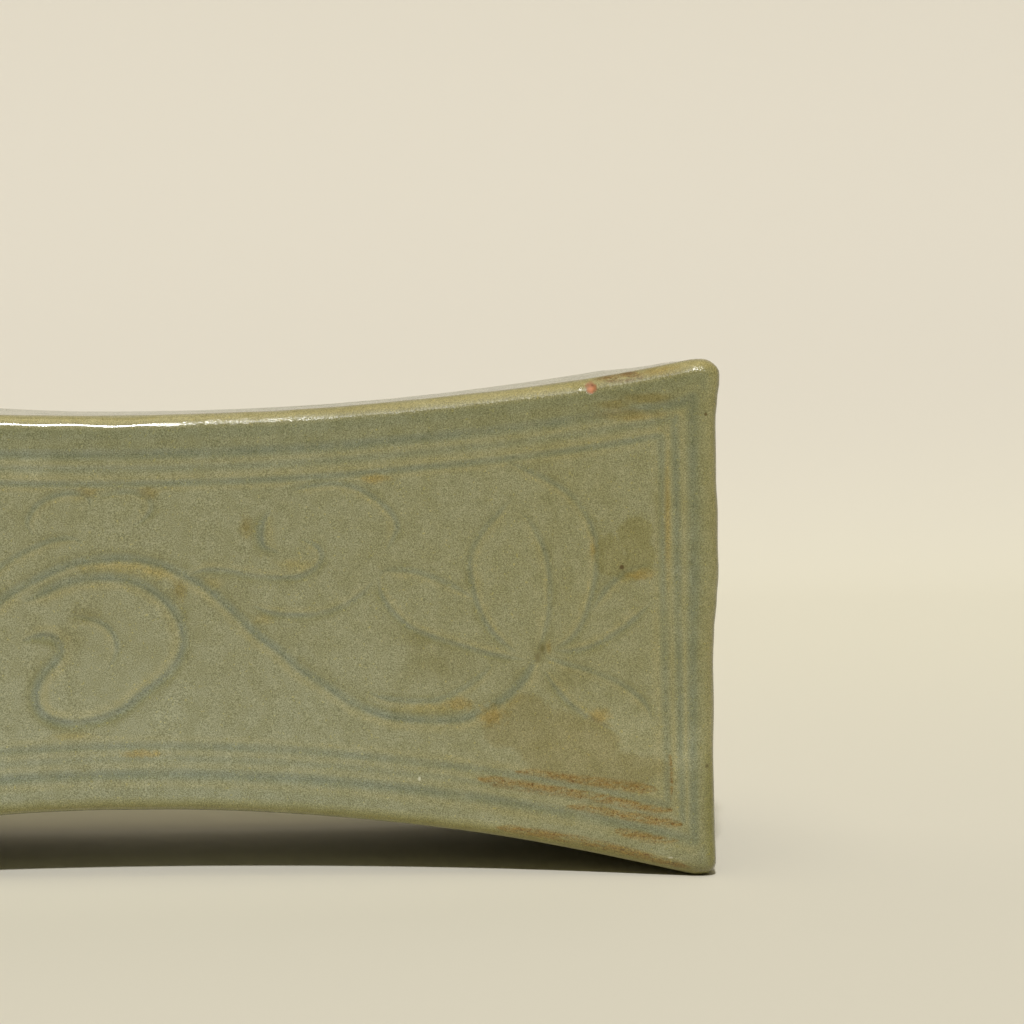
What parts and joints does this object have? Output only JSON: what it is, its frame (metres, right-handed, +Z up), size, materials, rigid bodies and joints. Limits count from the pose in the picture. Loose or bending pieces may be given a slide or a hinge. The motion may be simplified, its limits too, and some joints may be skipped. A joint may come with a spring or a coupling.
{
  "type": "ceramic pillow",
  "caption": "Hollow glazed stoneware headrest: a waisted rectangular box of luted slabs with a dished top, drawn-in sides, an arched underside and flat square ends.",
  "frame": {"origin": "under the middle of the pillow, on the plane that its two ends stand on", "axes": "+X along the length towards the right end slab, -Y out of the decorated front, +Z up out of the dished top"},
  "size_m": [0.3, 0.13, 0.13],
  "materials": {
    "celadon_glaze": "glossy grey-green glaze over stoneware",
    "biscuit_clay": "unglazed fired clay"
  },
  "bodies": {
    "root": {"top_slab": "celadon_glaze", "bottom_slab": "celadon_glaze", "front_slab": "celadon_glaze", "back_slab": "celadon_glaze", "left_end_slab": "celadon_glaze", "right_end_slab": "celadon_glaze", "top_front_seam": "biscuit_clay", "top_back_seam": "biscuit_clay", "bottom_front_seam": "biscuit_clay", "bottom_back_seam": "biscuit_clay", "left_end_seam": "biscuit_clay", "right_end_seam": "biscuit_clay", "top_front_coil": "biscuit_clay", "top_back_coil": "biscuit_clay", "bottom_front_coil": "biscuit_clay", "bottom_back_coil": "biscuit_clay", "end_top_coil": "biscuit_clay", "end_bottom_coil": "biscuit_clay", "end_front_coil": "biscuit_clay", "end_back_coil": "biscuit_clay"}
  },
  "joints": []
}
